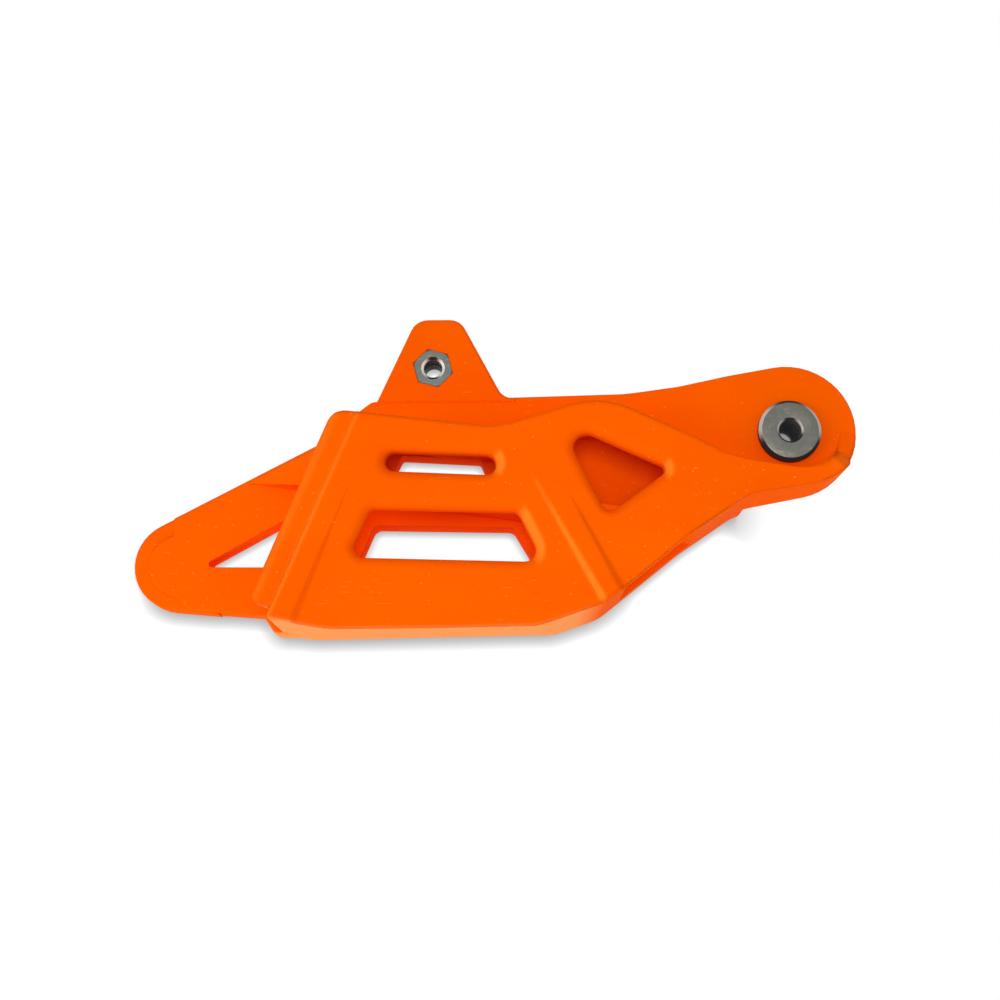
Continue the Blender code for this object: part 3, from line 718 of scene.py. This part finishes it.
class Thread:
    """Screw thread: a ridge that follows a helix, from a Geometry Nodes tree.

    Attributes:
        HELIX_STEPS: Points in each turn.
        TOOTH_SIDES: Sides of the ridge's outline.
    """

    HELIX_STEPS = 64
    TOOTH_SIDES = 6

    def __init__(self) -> None:
        """Build the tree once."""
        tree = bpy.data.node_groups.new("thread_ridge", "GeometryNodeTree")
        tree.is_modifier = True
        self.tree = tree
        self.sockets: dict[str, str] = {}
        for name, kind in (
            ("Radius", "NodeSocketFloat"),
            ("Pitch", "NodeSocketFloat"),
            ("Turns", "NodeSocketFloat"),
            ("Depth", "NodeSocketFloat"),
            ("Start", "NodeSocketVector"),
            ("Finish", "NodeSocketMaterial"),
        ):
            socket = tree.interface.new_socket(name, in_out="INPUT", socket_type=kind)
            self.sockets[name] = socket.identifier
        tree.interface.new_socket("Geometry", in_out="OUTPUT", socket_type="NodeSocketGeometry")
        self._fill()

    def _fill(self) -> None:
        """Add the tree's nodes and links."""
        nodes, link = self.tree.nodes, self.tree.links.new
        given = nodes.new("NodeGroupInput").outputs
        rise = nodes.new("ShaderNodeMath")
        rise.operation = "MULTIPLY"
        link(given["Pitch"], rise.inputs[0])
        link(given["Turns"], rise.inputs[1])
        helix = nodes.new("GeometryNodeCurveSpiral")
        helix.inputs["Resolution"].default_value = self.HELIX_STEPS
        link(given["Turns"], helix.inputs["Rotations"])
        link(given["Radius"], helix.inputs["Start Radius"])
        link(given["Radius"], helix.inputs["End Radius"])
        link(rise.outputs[0], helix.inputs["Height"])
        tooth = nodes.new("GeometryNodeCurvePrimitiveCircle")
        tooth.inputs["Resolution"].default_value = self.TOOTH_SIDES
        link(given["Depth"], tooth.inputs["Radius"])
        sweep = nodes.new("GeometryNodeCurveToMesh")
        sweep.inputs["Fill Caps"].default_value = True
        link(helix.outputs[0], sweep.inputs["Curve"])
        link(tooth.outputs[0], sweep.inputs["Profile Curve"])
        move = nodes.new("GeometryNodeTransform")
        link(sweep.outputs[0], move.inputs["Geometry"])
        link(given["Start"], move.inputs["Translation"])
        real = nodes.new("GeometryNodeRealizeInstances")
        link(move.outputs[0], real.inputs[0])
        dress = nodes.new("GeometryNodeSetMaterial")
        link(real.outputs[0], dress.inputs["Geometry"])
        link(given["Finish"], dress.inputs["Material"])
        link(dress.outputs[0], nodes.new("NodeGroupOutput").inputs[0])

    def cut(self, name: str, sizes: Mapping[str, Any], material: bpy.types.Material) -> bpy.types.Object:
        """Make one thread as a plain mesh.

        Args:
            name: Piece name.
            sizes: Radius, Pitch, Turns, Depth and Start.
            material: Its finish.

        Returns:
            The piece.
        """
        piece = bpy.data.objects.new(name, bpy.data.meshes.new(name))
        bpy.context.scene.collection.objects.link(piece)
        step = piece.modifiers.new("thread", "NODES")
        step.node_group = self.tree
        for key, size in {**sizes, "Finish": material}.items():
            step[self.sockets[key]] = size
        depsgraph = bpy.context.evaluated_depsgraph_get()
        mesh = bpy.data.meshes.new_from_object(piece.evaluated_get(depsgraph))
        piece.modifiers.remove(step)
        body = bmesh.new()
        body.from_mesh(mesh)
        bmesh.ops.recalc_face_normals(body, faces=body.faces)
        body.to_mesh(mesh)
        body.free()
        mesh.shade_smooth()
        mesh.name = name
        piece.data = mesh
        return piece


@dataclass
class GuideBody:
    """The moulded body.

    Attributes:
        finish: Its finish.
        rim_end: Where the cup wall fades out: X and Y from the bush's axis, and height.
    """

    finish: MouldedNylon = field(default_factory=MouldedNylon)
    rim_end: tuple[float, float, float] = (0.0135, -0.0110, 0.0210)

    def build(self) -> list[bpy.types.Object]:
        """Dress the CAD solid.

        Returns:
            The dressed object.
        """
        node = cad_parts["guide_body"]
        low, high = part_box("guide_body")
        bush_low, bush_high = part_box("flange_bush")
        bush = (bush_low + bush_high) / 2
        rim_end = Vector((bush.x + self.rim_end[0], bush.y + self.rim_end[1], self.rim_end[2]))
        node.data.materials.clear()
        node.data.materials.append(self.finish.build(low, high, rim_end))
        return [node]


@dataclass
class FlangeBush:
    """Turned bush with a flange, rounded chamfers and turning grooves in its bore.

    Attributes:
        bore: Radius of the bore.
        sleeve: Outer radius below the flange.
        edge: Rounding of the flange's edges.
        groove_offset: How far outside the bore the ridge between the grooves is centred.
        groove_radius: Radius of that ridge.
        groove_inset: What the grooves leave free at either end.
        steps: Facets round the axis.
    """

    bore: float = 0.0032
    sleeve: float = 0.0060
    chamfer: float = 0.0009
    bore_chamfer: float = 0.0006
    flange_thickness: float = 0.0027
    edge: float = 0.00025
    groove_pitch: float = 0.0009
    groove_offset: float = 0.000056
    groove_radius: float = 0.000168
    groove_inset: float = 0.0012
    steps: int = 128

    def build(self, thread: Thread) -> list[bpy.types.Object]:
        """Turn the bush over its CAD solid.

        Args:
            thread: Maker of the grooves in the bore.

        Returns:
            The bush and its bore grooves.
        """
        low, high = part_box("flange_bush")
        centre = ((low.x + high.x) / 2, (low.y + high.y) / 2)
        flange = (high.x - low.x) / 2
        # Painted highlight on the flange's chamfer beside the axis, not below it; painted shade on the
        # upright sides and in the bore.
        finish = TurnedSteel(
            "turned_steel_finish",
            centre,
            face=(0.17, 0.17, 0.145),
            marked=(0.30, 0.30, 0.27),
            chamfer=(0.55, 0.56, 0.51),
            side=(0.035, 0.037, 0.045),
            ring_pitch=0.00035,
            ring_depth=0.000012,
            bore=self.bore,
            highlight_within=flange,
            highlight_from=-0.2,
        ).build()
        seat = high.z - self.flange_thickness
        profile = round_corners(
            [
                (self.bore + self.bore_chamfer, low.z, 0.0),
                (self.sleeve - self.bore_chamfer, low.z, 0.0),
                (self.sleeve, low.z + self.bore_chamfer, 0.0),
                (self.sleeve, seat, 0.0),
                (flange - self.edge, seat, 0.0),
                (flange, seat + self.edge, 0.0),
                (flange, high.z - self.chamfer, self.edge),
                (flange - self.chamfer, high.z, self.edge),
                (self.bore + self.bore_chamfer, high.z, self.edge / 2),
                (self.bore, high.z - self.bore_chamfer, self.edge / 2),
                (self.bore, low.z + self.bore_chamfer, 0.0),
            ]
        )
        bush = finished_mesh("bush", turn_profile(profile, centre, self.steps), finish, crease=50)
        sizes = {
            "Radius": self.bore + self.groove_offset,
            "Pitch": self.groove_pitch,
            "Turns": (high.z - low.z - 2 * self.groove_inset) / self.groove_pitch,
            "Depth": self.groove_radius,
            "Start": (*centre, low.z + self.groove_inset),
        }
        grooves = thread.cut("bush_bore_grooves", sizes, finish)
        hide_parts("flange_bush")
        for piece in (bush, grooves):
            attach(piece, BODY)
        return [bush, grooves]


@dataclass
class HexNut:
    """Captive nut: hexagon with turned corners, countersunk bore and thread, and a dark sleeve of painted
    shade in the ear's hole.

    Attributes:
        bore: Radius of the bore.
        countersink: Radius of the countersink at a face.
        highlight_within: Radius inside which the countersink gets the painted highlight.
        face: Radius of the flat face inside the turned chamfer.
        corner_slope: Drop of the turned chamfer for each metre outwards.
        drops: Depths below a face at which the turned chamfer has a ring of points.
        tooth: Radius of the thread's ridge.
        tooth_offset: How far outside the bore the ridge is centred.
        thread_start: Where the thread starts, in depths of the countersink above the lower face.
        thread_end: Where the thread ends, in depths of the countersink below the upper face.
        shade_sleeve: Outer radius of the sleeve.
        shade_sleeve_gap: What is left free below the sleeve and above it.
        shade_sleeve_steps: Facets round the sleeve.
        steps: Points in each ring of the nut.
    """

    across_flats: float = 0.0104
    turn_degrees: float = 15.0
    bore: float = 0.0027
    countersink: float = 0.0035
    highlight_within: float = 0.0042
    face: float = 0.0055
    corner_slope: float = 0.577
    drops: tuple[float, ...] = (0.0, 0.00008, 0.0002, 0.0004, 0.0006, 0.0009)
    tooth: float = 0.00022
    tooth_offset: float = 0.000066
    pitch: float = 0.0010
    thread_start: float = 0.4
    thread_end: float = 1.2
    shade_sleeve: float = 0.0032
    shade_sleeve_gap: float = 0.0004
    shade_sleeve_steps: int = 96
    steps: int = 144

    def build(self, thread: Thread) -> list[bpy.types.Object]:
        """Build the nut over its CAD solid.

        Args:
            thread: Maker of the thread.

        Returns:
            The nut, its thread and the sleeve of painted shade.
        """
        low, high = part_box("hex_nut")
        centre = ((low.x + high.x) / 2, (low.y + high.y) / 2)
        # Painted highlight on the countersinks beside the axis; painted shade on the flats, in the bore
        # and on the sleeve.
        finish = TurnedSteel(
            "plated_steel_finish",
            centre,
            face=(0.170, 0.190, 0.175),
            marked=(0.30, 0.31, 0.30),
            chamfer=(0.95, 0.93, 0.86),
            side=(0.045, 0.035, 0.022),
            ring_pitch=0.0004,
            ring_depth=0.00001,
            bore=self.bore,
            highlight_within=self.highlight_within,
            highlight_from=-1.5,
        ).build()
        nut = self._hexagon(centre, low.z, high.z, finish)
        sink = self.countersink - self.bore
        length = high.z - low.z - (self.thread_start + self.thread_end) * sink
        sizes = {
            "Radius": self.bore + self.tooth_offset,
            "Pitch": self.pitch,
            "Turns": length / self.pitch,
            "Depth": self.tooth,
            "Start": (*centre, low.z + self.thread_start * sink),
        }
        ridge = thread.cut("nut_thread", sizes, finish)
        # A dark sleeve lines the ear's hole, so that its wall shows as painted shade.
        foot, top = self.shade_sleeve_gap, low.z - self.shade_sleeve_gap
        wall = [(self.bore, foot), (self.shade_sleeve, foot), (self.shade_sleeve, top), (self.bore, top)]
        shade_sleeve = finished_mesh(
            "nut_shade_sleeve", turn_profile(wall, centre, self.shade_sleeve_steps), finish, crease=30
        )
        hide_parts("hex_nut")
        pieces = [nut, ridge, shade_sleeve]
        for piece in pieces:
            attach(piece, BODY)
        return pieces

    def _hexagon(
        self, centre: tuple[float, float], low: float, high: float, finish: bpy.types.Material
    ) -> bpy.types.Object:
        """Shape the nut from rings whose outline goes from the hexagon to the turned chamfer.

        Args:
            centre: X and Y of its axis.
            low: Height of its lower face.
            high: Height of its upper face.
            finish: Its material.

        Returns:
            The nut.
        """
        sink = self.countersink - self.bore
        inner = (
            (self.countersink, low),
            (self.bore, low + sink),
            (self.bore, high - sink),
            (self.countersink, high),
        )
        steps = range(self.steps)
        rings = [[self._point(radius, index, height) for index in steps] for radius, height in inner]
        rings += [self._outline(drop, high - drop) for drop in self.drops]
        rings += [self._outline(drop, low + drop) for drop in reversed(self.drops)]
        body = bmesh.new()
        made = [[body.verts.new(point) for point in ring] for ring in rings]
        for lower, upper in zip(made, made[1:] + made[:1]):
            for index in steps:
                after = (index + 1) % self.steps
                body.faces.new((lower[index], lower[after], upper[after], upper[index]))
        turn = Matrix.Rotation(math.radians(self.turn_degrees), 4, "Z")
        move = Matrix.Translation((*centre, 0.0)) @ turn
        bmesh.ops.transform(body, matrix=move, verts=body.verts)
        return finished_mesh("nut", body, finish, crease=24)

    def _outline(self, drop: float, height: float) -> list[Vector]:
        """Hexagon limited by the turned chamfer.

        Args:
            drop: Depth below the face.
            height: Height of the ring.

        Returns:
            The ring's points.
        """
        points = []
        limit = self.face + drop / self.corner_slope
        for index in range(self.steps):
            angle = math.tau * index / self.steps
            sector = (angle + math.pi / 6) % (math.pi / 3) - math.pi / 6
            radius = min(self.across_flats / 2 / math.cos(sector), limit)
            points.append(self._point(radius, index, height))
        return points

    def _point(self, radius: float, index: int, height: float) -> Vector:
        """One of a ring's points."""
        angle = math.tau * index / self.steps
        return Vector((radius * math.cos(angle), radius * math.sin(angle), height))


@dataclass
class Lamp:
    """A soft square lamp.

    Attributes:
        azimuth: Degrees from +X towards +Y.
        elevation: Degrees above the table.
        level: Brightness of white that faces it.
        size: Length of its side.
        distance: Distance from the origin.
    """

    name: str
    azimuth: float
    elevation: float
    level: float
    size: float
    distance: float = 1.2

    def build(self) -> None:
        """Add the lamp, aimed at the object."""
        turn, rise = math.radians(self.azimuth), math.radians(self.elevation)
        back = Vector((math.cos(turn) * math.cos(rise), math.sin(turn) * math.cos(rise), math.sin(rise)))
        data = bpy.data.lights.new(self.name, "AREA")
        data.size = self.size
        data.energy = self.level * math.pi**2 * self.distance**2
        lamp = bpy.data.objects.new(self.name, data)
        lamp.location = back * self.distance
        lamp.rotation_euler = (-back).to_track_quat("-Z", "Y").to_euler()
        bpy.context.scene.collection.objects.link(lamp)


@dataclass
class Studio:
    """White table, plain soft light and the camera above it.

    Attributes:
        bush_place: X and Y of the bush for which eye and target are given.
        world_level: Brightness of the surroundings that lights the part.
        mirror_level: Brightness of the surroundings and the table in the part's gloss.
        shadow_reach: How far the contact shadow reaches from the part.
        lower_reach: The same, below the part's lower edge.
        raised_reach: The same, beside the raised arm.
        lower_span: Y between which the lower reach goes over into the plain one.
        raised_span: X between which the plain reach goes over into the arm's.
        shadow_lean: Direction in which a point of the table looks for the part; as it leans to +Y, the
            shadow shows below the part's lower edges.
        shadow_depth: Darkness of the full shadow.
        raised_extra: Share by which it is darker beside the raised arm.
        table_tone: How much of the light that falls on it the table gives back to the part.
        table_glow: What it gives besides, so that its own shadow doesn't darken the part.
    """

    bush_place: tuple[float, float] = (0.0841, 0.0250)
    eye: tuple[float, float, float] = (0.0, -0.0886, 0.4148)
    target: tuple[float, float, float] = (0.0, 0.0, 0.034)
    lens: float = 51.516
    sensor_width: float = 36.0
    clip_start: float = 0.01
    table_gap: float = 0.0002
    table_size: float = 3.0
    world_level: float = 0.45
    mirror_level: float = 0.7
    shadow_reach: float = 0.0022
    lower_reach: float = 0.0040
    raised_reach: float = 0.0090
    lower_span: Span = (-0.040, -0.033)
    raised_span: Span = (0.064, 0.076)
    shadow_lean: tuple[float, float, float] = (0.0, 0.7, 0.714)
    shadow_samples: int = 8
    shadow_depth: float = 0.75
    raised_extra: float = 0.2
    table_tone: float = 0.55
    table_glow: float = 0.45
    bounces: int = 8
    lamps: tuple[Lamp, ...] = (
        Lamp("lamp_above", azimuth=255.0, elevation=84.0, level=0.40, size=0.4),
        Lamp("lamp_left", azimuth=186.0, elevation=34.0, level=0.20, size=0.4),
        Lamp("lamp_front", azimuth=262.0, elevation=20.0, level=0.26, size=0.6),
    )

    def build(self) -> None:
        """Add table, lamps, world and camera."""
        bpy.context.scene.view_settings.view_transform = "Standard"
        bpy.context.scene.cycles.max_bounces = self.bounces
        bpy.context.scene.cycles.diffuse_bounces = self.bounces
        self._table()
        self._world()
        self._camera()
        for lamp in self.lamps:
            lamp.build()

    def _table(self) -> None:
        """Add the table, which the camera sees as white with a soft contact shadow."""
        half = self.table_size / 2
        body = bmesh.new()
        corners = [(-half, -half), (half, -half), (half, half), (-half, half)]
        body.faces.new([body.verts.new((x, y, -self.table_gap)) for x, y in corners])
        material, graph = new_material("table_white")
        lit = graph.value("ShaderNodeBsdfDiffuse", {}, {"Color": rgba((self.table_tone,) * 3)})
        glow = graph.value("ShaderNodeEmission", {}, {"Strength": self.table_glow})
        bounce = graph.value("ShaderNodeAddShader", {}, {0: lit, 1: glow})
        mirror = graph.value("ShaderNodeEmission", {}, {"Strength": self.mirror_level})
        tone = graph.mix(self._contact_level(graph), rgba(BLACK), rgba(WHITE))
        shown = graph.value("ShaderNodeEmission", {}, {"Color": tone})
        mirrored, seen = graph.ray(RayKind.GLOSSY), graph.ray(RayKind.CAMERA)
        unseen = graph.value("ShaderNodeMixShader", {}, {0: mirrored, 1: bounce, 2: mirror})
        graph.surface(graph.value("ShaderNodeMixShader", {}, {0: seen, 1: unseen, 2: shown}))
        table = finished_mesh("table", body, material, crease=30)

    def _contact_level(self, graph: Graph) -> Value:
        """Brightness left in the soft shadow where the part meets the table.

        Args:
            graph: The table material's graph.

        Returns:
            The brightness, 1 away from the part.
        """
        across, along, _ = graph.parts(graph.place())
        raised = across.over(*self.raised_span)
        below = 1 - along.over(*self.lower_span)
        reach = below * (self.lower_reach - self.shadow_reach) + self.shadow_reach
        reach = raised * (self.raised_reach - self.shadow_reach) + reach
        lean = graph.value("ShaderNodeCombineXYZ", {}, dict(enumerate(self.shadow_lean)))
        inputs = {"Distance": reach, "Normal": lean}
        contact = graph.value("ShaderNodeAmbientOcclusion", {"samples": self.shadow_samples}, inputs, "AO")
        return (contact - 1.0) * (raised * self.raised_extra + 1.0) * self.shadow_depth + 1.0

    def _world(self) -> None:
        """Add even white surroundings, full white to the camera."""
        world = bpy.data.worlds.new("studio_world")
        world.use_nodes = True
        bpy.context.scene.world = world
        graph = Graph(world.node_tree)
        to_camera = graph.ray(RayKind.CAMERA) * (1 - self.world_level)
        to_mirror = graph.ray(RayKind.GLOSSY) * (self.mirror_level - self.world_level)
        inputs = {"Color": rgba(WHITE), "Strength": to_camera + to_mirror + self.world_level}
        backdrop = graph.value("ShaderNodeBackground", {}, inputs)
        graph.node("ShaderNodeOutputWorld", {}, {"Surface": backdrop})

    def _camera(self) -> None:
        """Add the camera at the photograph's angle, placed from the bush."""
        low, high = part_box("flange_bush")
        middle = (low + high) / 2
        shift = Vector((middle.x - self.bush_place[0], middle.y - self.bush_place[1], 0.0))
        data = bpy.data.cameras.new("camera")
        data.lens = self.lens
        data.sensor_width = self.sensor_width
        data.clip_start = self.clip_start
        camera = bpy.data.objects.new("camera", data)
        eye, target = Vector(self.eye) + shift, Vector(self.target) + shift
        camera.location = eye
        camera.rotation_euler = (target - eye).to_track_quat("-Z", "Y").to_euler()
        bpy.context.scene.collection.objects.link(camera)
        bpy.context.scene.camera = camera


def main() -> None:
    """Build every piece in order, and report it."""
    logging.basicConfig(level=logging.INFO, format="%(message)s")
    thread = Thread()
    for name, pieces in (
        ("body", GuideBody().build()),
        ("bush", FlangeBush().build(thread)),
        ("nut", HexNut().build(thread)),
    ):
        for piece in pieces:
            LOG.info("%s: %s, %d faces", name, piece.name, len(piece.data.polygons))
    Studio().build()


if __name__ == "__main__":
    main()
